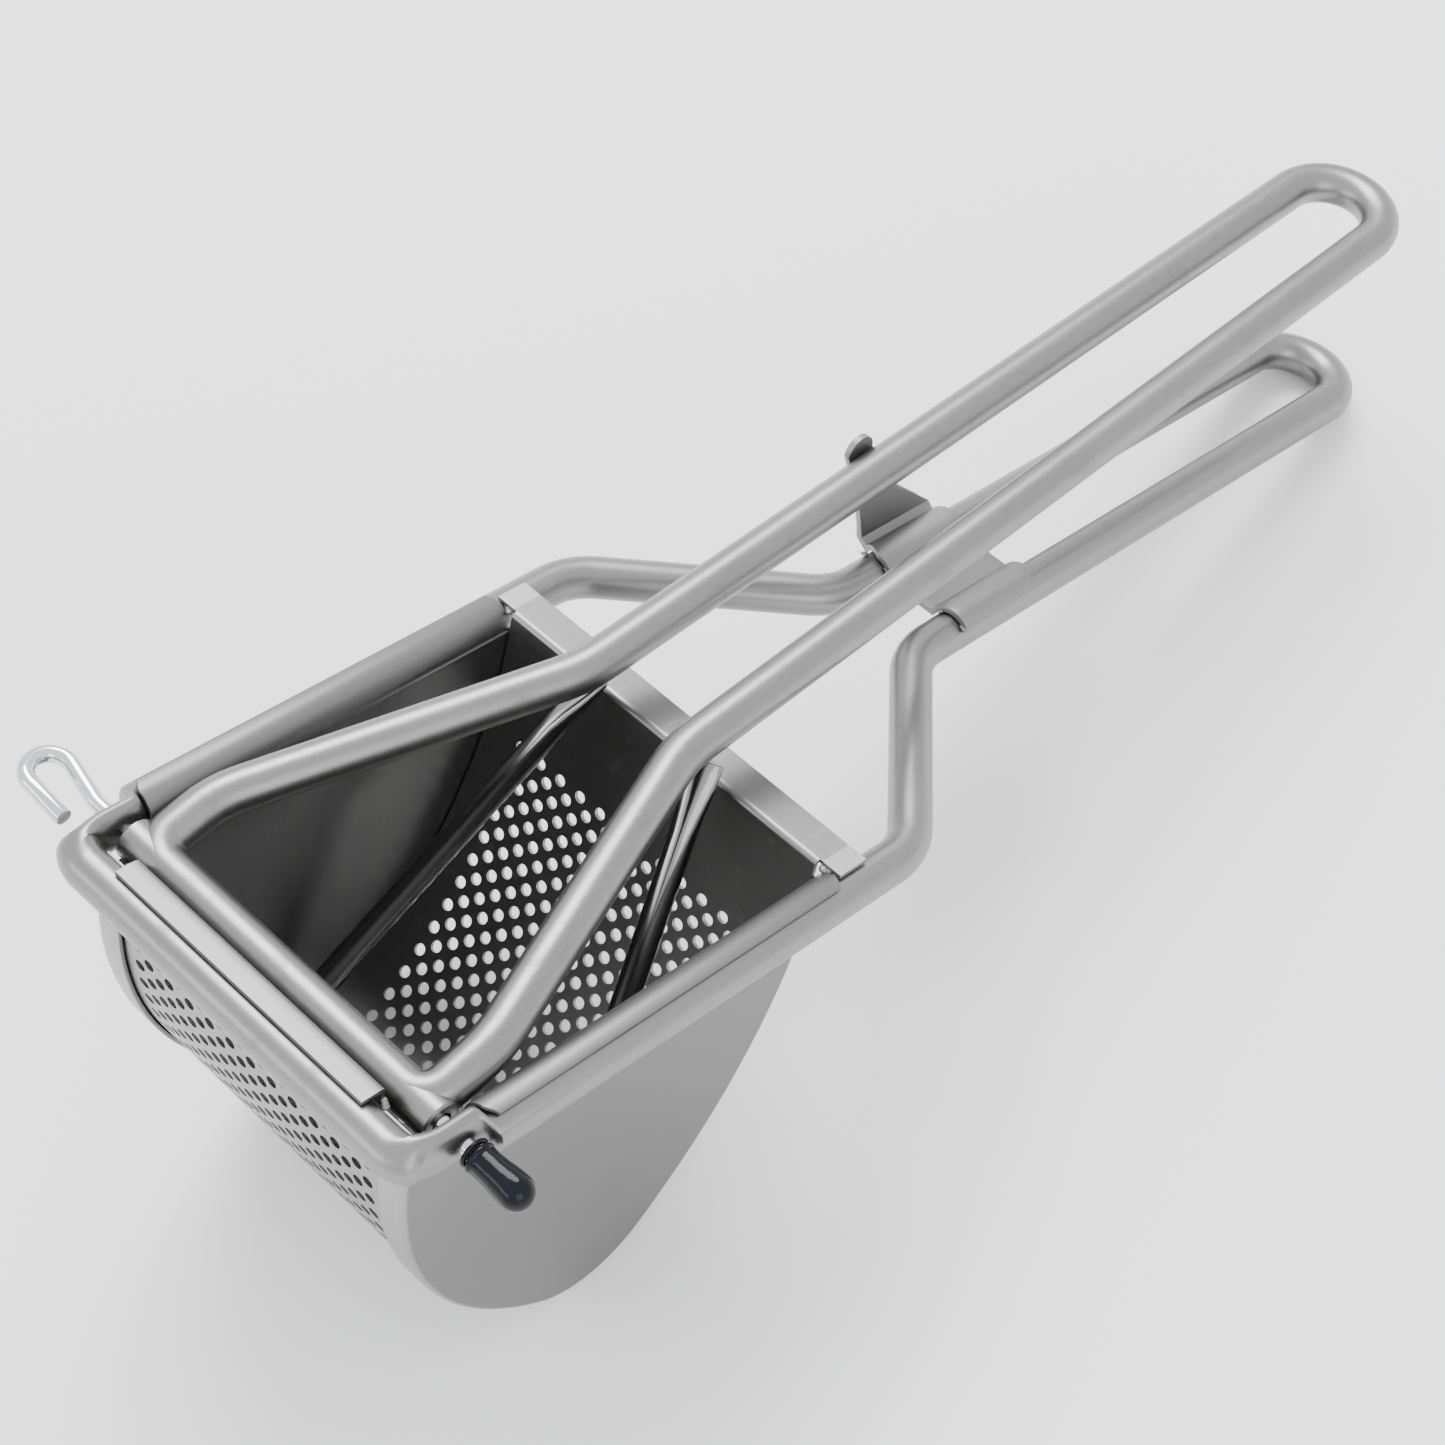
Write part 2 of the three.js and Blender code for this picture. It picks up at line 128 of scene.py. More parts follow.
hinge = next(joint for joint in frame["joints"] if joint["name"] == "press_hinge")
LEVEL_TO_REST = (Matrix.Translation(hinge["pos_m"])
                 @ Matrix.Rotation(-REST_LEAN, 4, "X")
                 @ Matrix.Scale(0.001, 4)
                 @ Matrix.Translation((0, -PIN_Y, 0)))


def arc_points(centre, radius, start, end, step=math.radians(7.5)):
    count = max(2, math.ceil(abs(end - start) / step))
    angles = [start + (end - start) * i / count for i in range(count + 1)]
    return [Vector((centre.x + radius * math.cos(a), centre.y + radius * math.sin(a)))
            for a in angles]


def profile_points(inset, spacing=2.5):
    points = []
    for centre, radius, start, end in PROFILE_ARCS:
        stretch = arc_points(centre, radius - inset, start, end, spacing / radius)
        points += stretch[1:] if points else stretch
    return points


# ------------------------------------------------------------------ finishing a piece
def only(geometry, kind):
    return [item for item in geometry if isinstance(item, kind)]


def settle(bm, name, body, material, stands_for=(), thick=0.0, bevel=0.0,
           sharp=35.0):
    """Turns a level model into a piece at rest on the table, riding on its body."""
    bmesh.ops.remove_doubles(bm, verts=bm.verts, dist=0.002)
    if not thick:
        bmesh.ops.recalc_face_normals(bm, faces=bm.faces)
    mesh = bpy.data.meshes.new(name)
    bm.to_mesh(mesh)
    bm.free()
    piece = bpy.data.objects.new(name, mesh)
    bpy.context.scene.collection.objects.link(piece)
    if thick:
        wall = piece.modifiers.new("wall", "SOLIDIFY")
        wall.thickness = thick
        wall.offset = -1.0
        wall.use_even_offset = True
    if bevel:
        ease = piece.modifiers.new("ease", "BEVEL")
        ease.width = bevel
        ease.segments = 2
        ease.limit_method = "ANGLE"
        ease.angle_limit = math.radians(40)
    if piece.modifiers:
        bpy.context.view_layer.update()
        done = piece.evaluated_get(bpy.context.evaluated_depsgraph_get())
        piece.data = bpy.data.meshes.new_from_object(done)
        piece.modifiers.clear()
    piece.data.transform(LEVEL_TO_REST)
    piece.data.shade_smooth()
    piece.data.set_sharp_from_angle(angle=math.radians(sharp))
    piece.data.materials.clear()
    piece.data.materials.append(material)
    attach(piece, body)
    if stands_for:
        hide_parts(*stands_for)


# ------------------------------------------------------------------ bent tube and wire
def pull_out(bm, edges, offset):
    """Extrudes a ring of edges by an offset and returns the new ring."""
    made = bmesh.ops.extrude_edge_only(bm, edges=edges)["geom"]
    verts = only(made, bmesh.types.BMVert)
    bmesh.ops.translate(bm, verts=verts, vec=offset)
    fresh = set(verts)
    return [edge for edge in only(made, bmesh.types.BMEdge) if set(edge.verts) <= fresh]


def bent_tube(bm, corners, bends, radius, sides=28, closed_ends=False):
    """A tube with straight runs and round bends, as it comes from a bending machine."""
    here = Vector(corners[0])
    heading = (Vector(corners[1]) - here).normalized()
    stand = Matrix.Translation(here) @ heading.to_track_quat("Z", "Y").to_matrix().to_4x4()
    ring = bmesh.ops.create_circle(bm, cap_ends=False, radius=radius, segments=sides,
                                   matrix=stand)["verts"]
    edges = list({edge for vert in ring for edge in vert.link_edges})
    first = list(edges)
    for corner, after, bend in zip(corners[1:-1], corners[2:], bends):
        corner = Vector(corner)
        onward = (Vector(after) - corner).normalized()
        turn = heading.angle(onward)
        setback = bend * math.tan(turn / 2)
        start = corner - heading * setback
        edges = pull_out(bm, edges, start - here)
        axis = heading.cross(onward).normalized()
        centre = start + axis.cross(heading) * bend
        ring = list({vert for edge in edges for vert in edge.verts})
        spun = bmesh.ops.spin(bm, geom=ring + edges, cent=centre, axis=axis,
                              dvec=(0, 0, 0), angle=turn, space=Matrix.Identity(4),
                              steps=max(3, math.ceil(turn / math.radians(6))),
                              use_merge=False, use_duplicate=False)["geom_last"]
        edges = only(spun, bmesh.types.BMEdge)
        here = corner + onward * setback
        heading = onward
    edges = pull_out(bm, edges, Vector(corners[-1]) - here)
    if closed_ends:
        bmesh.ops.edgeloop_fill(bm, edges=first)
        bmesh.ops.edgeloop_fill(bm, edges=edges)
    return first, edges


def mirror_across(bm):
    everything = bm.verts[:] + bm.edges[:] + bm.faces[:]
    bmesh.ops.mirror(bm, geom=everything, matrix=Matrix.Identity(4), merge_dist=0.01,
                     axis="X")
    bmesh.ops.remove_doubles(bm, verts=bm.verts, dist=0.01)


def smooth_step(low, high, value):
    t = min(1.0, max(0.0, (value - low) / (high - low)))
    return t * t * (3 - 2 * t)


def cut_rings(bm, places):
    """Adds a ring of vertices round whatever crosses each y."""
    for y in places:
        bmesh.ops.bisect_plane(bm, geom=bm.verts[:] + bm.edges[:] + bm.faces[:],
                               dist=0.0001, plane_co=(0, y, 0), plane_no=(0, 1, 0))


# ------------------------------------------------------------------ shader expressions
class Socket:
    """A shader socket that can be used in ordinary arithmetic."""

    def __init__(self, shader, socket):
        self.shader = shader
        self.socket = socket

    def _math(self, operation, *values):
        return self.shader.node("ShaderNodeMath", {"operation": operation},
                                dict(enumerate(values)))

    def __add__(self, other):
        return self._math("ADD", self, other)

    def __radd__(self, other):
        return self._math("ADD", other, self)

    def __sub__(self, other):
        return self._math("SUBTRACT", self, other)

    def __rsub__(self, other):
        return self._math("SUBTRACT", other, self)

    def __mul__(self, other):
        return self._math("MULTIPLY", self, other)

    def __rmul__(self, other):
        return self._math("MULTIPLY", other, self)

    def __abs__(self):
        return self._math("ABSOLUTE", self)

    def ramp(self, low, high):
        """0 below low, 1 above high, smooth between."""
        return self.shader.node(
            "ShaderNodeMapRange", {"interpolation_type": "SMOOTHSTEP"},
            {"Value": self, "From Min": low, "From Max": high})


class Shader:
    """One material, its nodes made by node()."""

    def __init__(self, name):
        self.material = bpy.data.materials.new(name)
        self.material.use_nodes = True
        self.tree = self.material.node_tree
        self.surface = self.tree.nodes["Principled BSDF"]

    def node(self, kind, settings=None, inputs=None, output=0):
        made = self.tree.nodes.new(kind)
        for key, value in (settings or {}).items():
            setattr(made, key, value)
        for key, value in (inputs or {}).items():
            self.feed(made.inputs[key], value)
        return Socket(self, made.outputs[output])

    def feed(self, slot, value):
        if isinstance(value, Socket):
            self.tree.links.new(value.socket, slot)
        else:
            slot.default_value = value

    def level_mm(self):
        """Object coordinates turned back to the level position, in millimetres."""
        place = self.node("ShaderNodeTexCoord", output="Object")
        back = LEVEL_TO_REST.inverted()
        return self.node("ShaderNodeMapping", {"vector_type": "POINT"}, {
            "Vector": place, "Location": back.to_translation(),
            "Rotation": back.to_euler(), "Scale": back.to_scale()})

    def stretch(self, vector, scale):
        return self.node("ShaderNodeVectorMath", {"operation": "MULTIPLY"},
                         {0: vector, 1: scale})

    def noise(self, vector, scale, detail=3.0, rough=0.5):
        return self.node("ShaderNodeTexNoise", {"noise_dimensions": "3D"}, {
            "Vector": vector, "Scale": scale, "Detail": detail, "Roughness": rough})

    def split(self, vector, axis):
        return self.node("ShaderNodeSeparateXYZ", None, {0: vector}, output=axis)

    def mix(self, factor, a, b):
        return self.node("ShaderNodeMix", {"data_type": "RGBA"},
                         {0: factor, 6: a, 7: b}, output=2)

    def bump(self, height, strength, distance):
        return self.node("ShaderNodeBump", None, {
            "Height": height, "Strength": strength, "Distance": distance})

    def set(self, **sockets):
        for name, value in sockets.items():
            self.feed(self.surface.inputs[name.replace("_", " ")], value)
        return self.material


def grey(value, warmth=0.0):
    return (value * (1 + warmth), value, value * (1 - warmth), 1.0)


# ------------------------------------------------------------------ materials
def tube_finish(name, along, rough, dark=0.19, light=0.30, wear=1.0):
    """Satin tube: long fine lines, a cloudy polish and a few darker handling marks."""
    shader = Shader(name)
    place = shader.level_mm()
    lines = shader.noise(shader.stretch(place, along), 1.0, 4.0, 0.6)
    grain = shader.noise(place, 2.2, 2.0, 0.6)
    cloud = shader.noise(place, 0.045, 3.0, 0.55)
    marks = shader.noise(place, 0.16, 4.0, 0.6).ramp(0.56, 0.74)
    tone = shader.mix(lines * 0.6 + cloud * 0.4, grey(dark, 0.012), grey(light, 0.018))
    tone = shader.mix(marks * 0.3 * wear, tone, grey(dark * 0.8, 0.02))
    finish = rough - 0.03 + (lines * 0.12 + cloud * 0.06 + marks * 0.07) * wear
    bump = shader.bump(lines * 0.7 + grain * 0.3, 0.16 * wear, 0.00006)
    return shader.set(Base_Color=tone, Metallic=1.0, Roughness=finish, Normal=bump)


def sheet_finish(name, along, outside, inside, rough):
    """Satin sheet outside; the basket's inner faces are more polished and take their own tone,
    painted shading for the light inside the basket: darker on the perforated sheet, lighter on
    the side plates, the same on the pressed plates.
    """
    shader = Shader(name)
    place = shader.level_mm()
    lines = shader.noise(shader.stretch(place, along), 1.0, 4.0, 0.62)
    grain = shader.noise(place, 3.0, 2.0, 0.6)
    cloud = shader.noise(place, 0.03, 3.0, 0.5)
    within = 1 - abs(shader.split(place, "X")).ramp(WALL_X + 0.2, WALL_X + 0.6)
    scuffs = shader.noise(shader.stretch(place, (0.5, 0.06, 0.3)), 0.6, 3.0, 0.7)
    scuffs = scuffs.ramp(0.60, 0.72)
    shade = lines * 0.5 + cloud * 0.5
    outer_tone = shader.mix(shade, grey(outside * 0.85, 0.01), grey(outside * 1.12, 0.012))
    # painted shading: the inner faces' tone stands in for the shade and reflected light inside
    # the basket
    painted_inner_shading = shader.mix(shade, grey(inside * 0.8, 0.008), grey(inside * 1.2, 0.008))
    tone = shader.mix(within, outer_tone, painted_inner_shading)
    tone = shader.mix(scuffs * 0.18, tone, grey(outside * 1.3, 0.0))
    finish = rough + lines * 0.1 + cloud * 0.05 - within * 0.12 + scuffs * 0.06
    bump = shader.bump(lines * 0.5 + grain * 0.5, 0.12, 0.00005)
    return shader.set(Base_Color=tone, Metallic=1.0, Roughness=finish, Normal=bump)


def pin_finish():
    """Bright plated wire with faint drawing lines and a little dulling."""
    shader = Shader("bright_wire")
    place = shader.level_mm()
    lines = shader.noise(shader.stretch(place, (0.05, 3.0, 3.0)), 1.0, 3.0, 0.6)
    haze = shader.noise(place, 0.3, 3.0, 0.6).ramp(0.5, 0.75)
    tone = shader.mix(haze, grey(0.66, -0.01), grey(0.50, 0.0))
    rough = 0.07 + lines * 0.05 + haze * 0.1
    bump = shader.bump(lines, 0.08, 0.00004)
    return shader.set(Base_Color=tone, Metallic=1.0, Roughness=rough, Normal=bump)


def vinyl_finish():
    """Glossy dipped vinyl, blue-black, with slight ripples and dust."""
    shader = Shader("dipped_vinyl")
    place = shader.level_mm()
    ripple = shader.noise(place, 0.5, 2.0, 0.5)
    dust = shader.noise(place, 1.9, 4.0, 0.7).ramp(0.60, 0.80)
    tone = shader.mix(dust, (0.003, 0.004, 0.008, 1), (0.010, 0.012, 0.018, 1))
    bump = shader.bump(ripple, 0.2, 0.0003)
    return shader.set(Base_Color=tone, Roughness=0.12 + dust * 0.15, Normal=bump,
                      Specular_IOR_Level=0.18)


def weld_finish():
    """Weld metal: rippled, with straw and blue-grey heat colour."""
    shader = Shader("weld_metal")
    place = shader.level_mm()
    ripple = shader.noise(place, 1.6, 3.0, 0.6)
    heat = shader.noise(place, 0.35, 2.0, 0.5)
    tone = shader.mix(heat.ramp(0.4, 0.65), (0.25, 0.24, 0.225, 1), (0.16, 0.16, 0.175, 1))
    bump = shader.bump(ripple, 0.5, 0.0002)
    return shader.set(Base_Color=tone, Metallic=1.0, Roughness=0.36 + ripple * 0.2,
                      Normal=bump)


TUBE_STEEL = tube_finish("satin_tube", (2.6, 0.05, 2.6), 0.30)
BRACE_STEEL = tube_finish("polished_tube", (0.5, 0.04, 0.5), 0.16, 0.20, 0.26, 0.3)
# the fourth value is the painted shading of the basket's inner faces
PLATE_STEEL = sheet_finish("satin_side_plate", (0.9, 0.9, 0.06), 0.195, 0.30, 0.40)
RICING_STEEL = sheet_finish("perforated_sheet", (0.05, 1.4, 1.4), 0.40, 0.26, 0.42)
PRESSING_STEEL = sheet_finish("pressed_plate", (1.4, 0.08, 1.4), 0.26, 0.26, 0.56)
WIRE = pin_finish()
VINYL = vinyl_finish()
WELD = weld_finish()


# ------------------------------------------------------------------ basket frame
def make_basket_frame():
    bm = bmesh.new()
    bent_tube(bm, [
        (0, 0, 0), (RAIL_X, 0, 0), (RAIL_X, RAIL_BEND_Y, 0),
        (HANDLE_X, HANDLE_BEND_Y, 0), (HANDLE_X, HANDLE_END_Y, 0), (0, HANDLE_END_Y, 0),
    ], [CORNER_BEND, WAIST_BEND, WAIST_BEND, HANDLE_X - END_SLIVER], TUBE_R)
    mirror_across(bm)
    cut_rings(bm, [7.5 + 0.75 * i for i in range(10)] + [EAR_TO_Y + 0.5])
    press_ears(bm)
    settle(bm, "basket_frame_tube", "basket", TUBE_STEEL, ["basket_frame"])


def press_ears(bm):
    """Presses each front corner flat where the pin passes through."""
    for vert in bm.verts:
        side = math.copysign(1, vert.co.x)
        reach = abs(vert.co.x)
        if reach < RAIL_X - TUBE_R - 4 or vert.co.y > EAR_TO_Y + 1:
            continue
        amount = (smooth_step(EAR_FROM_Y, EAR_FROM_Y + 5, vert.co.y)
                  * smooth_step(EAR_FROM_X, EAR_FROM_X + 2.5, reach)
                  * (1 - smooth_step(EAR_TO_Y - 1.0, EAR_TO_Y + 0.4, vert.co.y)))
        across = max(-TUBE_R, min(TUBE_R, reach - RAIL_X)) / TUBE_R
        flat_x = EAR_MIDDLE_X + across * EAR_HALF_THICK
        vert.co.x = side * (reach * (1 - amount) + flat_x * amount)
        vert.co.z *= 1 + amount * (EAR_HALF_HEIGHT / TUBE_R - 1)


# ------------------------------------------------------------------ side plates
FLANGE_FOLD = 1.1
ROLL_SWEEP = math.radians(106)
ROLL_CORNER = 1.2                 # how far the roll's outer corners are rounded back


def make_side_plate(side, name):
    """The inner face is drawn and thickened outwards; +1 is the right plate."""
    bm = bmesh.new()
    top = FRONT_TOP.y + 1
    start_y = EAR_TO_Y + GAP
    outline = [p for p in profile_points(SHEET, 2.0) if p.y < -0.01]
    edge_count = len(outline)
    outline += [Vector((MOUTH_BACK_Y - SHEET, 0)), Vector((start_y, 0)),
                Vector((start_y, top)), Vector((outline[0].x, top))]
    verts = [bm.verts.new((WALL_X, p.x, p.y)) for p in outline]
    bm.faces.new(verts)
    curve = [bm.edges.get((verts[i], verts[i + 1])) for i in range(edge_count)]
    mouth = [bm.edges.get((verts[edge_count], verts[edge_count + 1]))]
    spin_over_rail(bm, mouth)
    trim_roll(bm)
    pull_out(bm, curve, Vector((-FLANGE_WIDTH + SHEET, 0, 0)))
    bmesh.ops.bevel(bm, geom=curve, offset=FLANGE_FOLD, segments=3, affect="EDGES", profile=0.5,
                    material=-1)
    if side < 0:
        bmesh.ops.scale(bm, vec=(-1, 1, 1), verts=bm.verts)
        bmesh.ops.reverse_faces(bm, faces=bm.faces)
    face_inwards(bm, side)
    settle(bm, name + "_sheet", "basket", PLATE_STEEL, [name],
           thick=SHEET, bevel=0.15)


def spin_over_rail(bm, mouth):
    """Carries the sheet on over the rail to its crest and a little down the outside."""
    ends = list({vert for edge in mouth for vert in edge.verts})
    bmesh.ops.spin(bm, geom=ends + mouth, cent=(RAIL_X, 0, 0), axis=(0, 1, 0),
                   dvec=(0, 0, 0), angle=ROLL_SWEEP, space=Matrix.Identity(4),
                   steps=14, use_merge=False, use_duplicate=False)


def trim_roll(bm):
    """Ends the rolled part short of the rear lip, with a rounded corner."""
    for vert in bm.verts:
        if vert.co.z > 0.01 and vert.co.y > ROLL_TO_Y - 3:
            risen = vert.co.z / ROLL_R if vert.co.x < RAIL_X else 1.0
            vert.co.y += (ROLL_TO_Y - vert.co.y) * smooth_step(0.1, 0.8, risen)
            vert.co.y -= ROLL_CORNER * smooth_step(RAIL_X - 1.5, RAIL_X + 1.6, vert.co.x)
        elif vert.co.z > 0.01 and vert.co.y < EAR_TO_Y + 3:
            vert.co.y += ROLL_CORNER * smooth_step(RAIL_X - 1.5, RAIL_X + 1.6, vert.co.x)


def face_inwards(bm, side):
    """All faces look into the basket, so that thickness goes outwards."""
    bmesh.ops.recalc_face_normals(bm, faces=bm.faces)
    bm.faces.ensure_lookup_table()
    widest = max(bm.faces, key=lambda face: face.calc_area())
    bm.normal_update()
    if widest.normal.x * side > 0:
        bmesh.ops.reverse_faces(bm, faces=bm.faces)


# ------------------------------------------------------------------ perforated sheet
HOLE_D = 2.4
COLUMNS = 29
PITCH = 2 * SHEET_X / COLUMNS     # holes sit in every second square of this grid
PLAIN_COLUMNS = 3
FOLD_R = 1.2                      # inside radius of the strip's and the lip's fold
FRONT_PLAIN = 14.0                # unperforated height below the front bar
BACK_PLAIN = 22.0                 # and below the rear lip
FRONT_TAB_X = 31.5                # half width of the strip over the front bar
LIP_WIDENS = REAR_LIP_TO_Y - ROLL_TO_Y - 0.5      # depth of the lip's wide part


def sheet_route():
    """The sheet's inner face from the strip over the front bar to the rear lip.
    Each stretch is (length, function from distance to (y, z))."""
    inset = 2 * SHEET + GAP
    front_y = FRONT_TOP.x + inset
    back_y = MOUTH_BACK_Y - inset
    lip_z = ROLL_R
    stretches = []

    def add_arc(centre, radius, start, end):
        length = abs(end - start) * radius

        def at(distance):
            angle = start + (end - start) * distance / length
            return centre.x + radius * math.cos(angle), centre.y + radius * math.sin(angle)
        stretches.append((length, at))

    def add_line(start, end):
        length = (end - start).length
        stretches.append((length, lambda distance: tuple(start.lerp(end, distance / length))))

    add_line(Vector((0, lip_z)), Vector((front_y - FOLD_R, lip_z)))
    add_arc(Vector((front_y - FOLD_R, lip_z - FOLD_R)), FOLD_R, math.pi / 2, 0)
    add_line(Vector((front_y, lip_z - FOLD_R)), Vector((front_y, FRONT_TOP.y)))
    for centre, radius, start, end in PROFILE_ARCS:
        add_arc(centre, radius - inset, start, end)
    add_line(Vector((back_y, 0)), Vector((back_y, lip_z - FOLD_R)))
    add_arc(Vector((back_y + FOLD_R, lip_z - FOLD_R)), FOLD_R, math.pi,
            math.pi / 2)
    add_line(Vector((back_y + FOLD_R, lip_z)), Vector((REAR_LIP_TO_Y, lip_z)))
    return stretches


def along_route(stretches, distance):
    for length, at in stretches:
        if distance <= length:
            return at(distance)
        distance -= length
    return stretches[-1][1](stretches[-1][0])


def make_ricing_sheet():
    stretches = sheet_route()
    total = sum(length for length, _ in stretches)
    rows = round(total / PITCH)
    step = total / rows
    fold = total - stretches[-1][0] - stretches[-2][0]
    strip = stretches[0][0] + stretches[1][0]
    bm = bmesh.new()
    bmesh.ops.create_grid(bm, x_segments=COLUMNS, y_segments=rows, size=0.5)
    bmesh.ops.translate(bm, verts=bm.verts, vec=(0, 0.5, 0))
    bmesh.ops.scale(bm, verts=bm.verts, vec=(2 * SHEET_X, total, 1))
    add_fold_rows(bm, (stretches[0][0], fold))
    bent_up = strip + ROLL_R - FOLD_R
    cut_rings(bm, [bent_up, total - LIP_WIDENS])

    trimmed = [face for face in bm.faces
               if face.calc_center_median().y < bent_up
               and abs(face.calc_center_median().x) > FRONT_TAB_X]
    bmesh.ops.delete(bm, geom=trimmed, context="FACES")
    drilled = []
    for face in bm.faces:
        middle = face.calc_center_median()
        column = round(middle.x / PITCH + (COLUMNS - 1) / 2)
        row = round(middle.y / step - 0.5)
        wide = abs(middle.x) < (COLUMNS / 2 - PLAIN_COLUMNS) * PITCH
        deep = strip + FRONT_PLAIN < middle.y < fold - BACK_PLAIN
        if wide and deep and (column + row) % 2 == 0:
            drilled.append(face)
    drill(bm, drilled)
    widen_lip(bm, total - LIP_WIDENS)
    for vert in bm.verts:
        y, z = along_route(stretches, min(max(vert.co.y, 0), total - 0.0001))
        vert.co = (vert.co.x, y, z)
    bmesh.ops.recalc_face_normals(bm, faces=bm.faces)
    bm.faces.ensure_lookup_table()
    bm.normal_update()
    rear = Vector((0, MOUTH_BACK_Y, 0))
    back = min(bm.faces, key=lambda face: (face.calc_center_median() - rear).length)
    if back.normal.y > 0:
        bmesh.ops.reverse_faces(bm, faces=bm.faces)
    settle(bm, "ricing_sheet_perforated", "basket", RICING_STEEL, ["ricing_sheet"],
           thick=SHEET, sharp=40)


def add_fold_rows(bm, folds):
    """Extra rows where the sheet folds over the front bar and into the lip."""
    for fold in folds:
        cut_rings(bm, [fold + FOLD_R * math.pi / 2 * i / 5 for i in range(6)])


def widen_lip(bm, start):
    """Draws the ends of the lip out over both rails."""
    for side in (-1, 1):
        edges = [edge for edge in bm.edges if edge.is_boundary
                 and all(vert.co.y > start - 0.01 and vert.co.x * side > SHEET_X - 0.01
                         for vert in edge.verts)]
        pull_out(bm, edges, Vector((side * (REAR_LIP_X - SHEET_X), 0, 0)))


def drill(bm, faces):
    """Opens a round hole in each of these squares."""
    bmesh.ops.inset_individual(bm, faces=faces, thickness=PITCH * 0.1)
    edges = list({edge for face in faces for edge in face.edges})
    centres = {face: face.calc_center_median() for face in faces}
    bmesh.ops.subdivide_edges(bm, edges=edges, cuts=3, use_grid_fill=False)
    for face in faces:
        centre = centres[face]
        for vert in face.verts:
            away = vert.co - centre
            vert.co = centre + away.normalized() * HOLE_D / 2
    bmesh.ops.delete(bm, geom=faces, context="FACES_ONLY")


# ------------------------------------------------------------------ bridge plate
BRIDGE_THICK = 1.2
BRIDGE_WEB_Z = 2.4
BRIDGE_FRONT_Y = 163.5
BRIDGE_BACK_Y = 186.5
TONGUE_X = 15.8
TONGUE_TIP = Vector((159.2, 28.9))
TONGUE_TIP_R = 3.3
TONGUE_FRONT = [(2.4, 167.5), (12, 164)]          # (height, y) corners below the round tip
TONGUE_BACK = [(2.4, BRIDGE_BACK_Y), (4, BRIDGE_BACK_Y), (14.7, 173)]
SCOOP_R = 3.2                     # the shallow scoop in the middle of the front edge
BRIDGE_CORNER_R = 6.0
BRIDGE_CORNER_X = HANDLE_X - 2.2
BRIDGE_RIGHT_EDGE = math.radians(50)


def between(value, table):
    """Straight-line interpolation in a short list of (key, value) corners."""
    for (k0, v0), (k1, v1) in zip(table, table[1:]):
        if value <= k1:
            return v0 + (v1 - v0) * (value - k0) / (k1 - k0)
    return table[-1][1]


def tongue_edges(z):
    """Front and rear edge of the tongue at a height, as y."""
    if z > TONGUE_TIP.y:
        half = math.sqrt(max(0.0, TONGUE_TIP_R ** 2 - (z - TONGUE_TIP.y) ** 2))
        return TONGUE_TIP.x - half, TONGUE_TIP.x + half
    tip_z = TONGUE_TIP.y
    front = between(z, TONGUE_FRONT + [(tip_z, TONGUE_TIP.x - TONGUE_TIP_R)])
    back = between(z, TONGUE_BACK + [(tip_z, TONGUE_TIP.x + TONGUE_TIP_R)])
    return front, back


def base_edges(x):
    """Front and rear edge of the grooved part at a place across, as y."""
    front = BRIDGE_FRONT_Y + 1
    if x < -HANDLE_X:
        front += (-HANDLE_X - x) * 0.55
    scoop = SCOOP_R ** 2 - x ** 2
    if scoop > 0:
        front -= 0.8 * math.sqrt(scoop)
    back = BRIDGE_BACK_Y
    if x > BRIDGE_CORNER_X:
        drop = math.sqrt(max(0.0, BRIDGE_CORNER_R ** 2 - (x - BRIDGE_CORNER_X) ** 2))
        back -= BRIDGE_CORNER_R - drop
    return front, back


def make_bridge_plate():
    r = TUBE_R + GAP + BRIDGE_THICK
    crease = math.asin(BRIDGE_WEB_Z / r)
    left, right = Vector((-HANDLE_X, 0)), Vector((HANDLE_X, 0))
    rise = 16
    tip = TONGUE_TIP.y + TONGUE_TIP_R
    # the sine spacing crowds the rows towards the round tip
    section = [Vector((-TONGUE_X, 4 + (tip - 4) * math.sin(math.pi / 2 * (1 - i / rise))))
               for i in range(rise + 1)]
    section += arc_points(left, r, math.pi - math.asin(3 / r), crease)
    section += arc_points(right, r, math.pi - crease, BRIDGE_RIGHT_EDGE)
    bm = bmesh.new()
    verts = [bm.verts.new((p.x, 0, p.y)) for p in section]
    edges = [bm.edges.new(pair) for pair in zip(verts, verts[1:])]
    run = 12
    for _ in range(run):
        edges = pull_out(bm, edges, Vector((0, 1, 0)))
    for vert in bm.verts:
        share = vert.co.y / run
        on_tongue = vert.co.x < -TONGUE_X + 0.01
        front, back = tongue_edges(vert.co.z) if on_tongue else base_edges(vert.co.x)
        vert.co.y = front + (back - front) * share
    bmesh.ops.recalc_face_normals(bm, faces=bm.faces)
    bm.normal_update()
    highest = max((f for f in bm.faces if f.calc_center_median().x > -HANDLE_X - 1),
                  key=lambda face: face.calc_center_median().z)
    if highest.normal.z < 0:
        bmesh.ops.reverse_faces(bm, faces=bm.faces)
    settle(bm, "bridge_pressing", "basket", PRESSING_STEEL, ["bridge_plate"],
           thick=BRIDGE_THICK, bevel=0.3)


# ------------------------------------------------------------------ press
def make_press_frame():
    bm = bmesh.new()
    bent_tube(bm, [
        (0, PIN_Y, 0), (PRESS_X, PIN_Y, 0), PRESS_SHOULDER, PRESS_WAIST, PRESS_END,
        (0, PRESS_END.y, PRESS_END.z),
    ], [PRESS_CORNER_BEND, PRESS_BEND, PRESS_BEND, PRESS_END.x - END_SLIVER], TUBE_R)
    barrel_end(bm)
    mirror_across(bm)
    settle(bm, "press_frame_tube", "press", TUBE_STEEL, ["press_frame"])


BARREL_INSET = 0.03               # the end lies just inside the bent tube
BARREL_CHAMFER = 0.4
BARREL_RIM = 0.9                  # the chamfered rim's share of the barrel's radius
BORE_DEPTH = 6


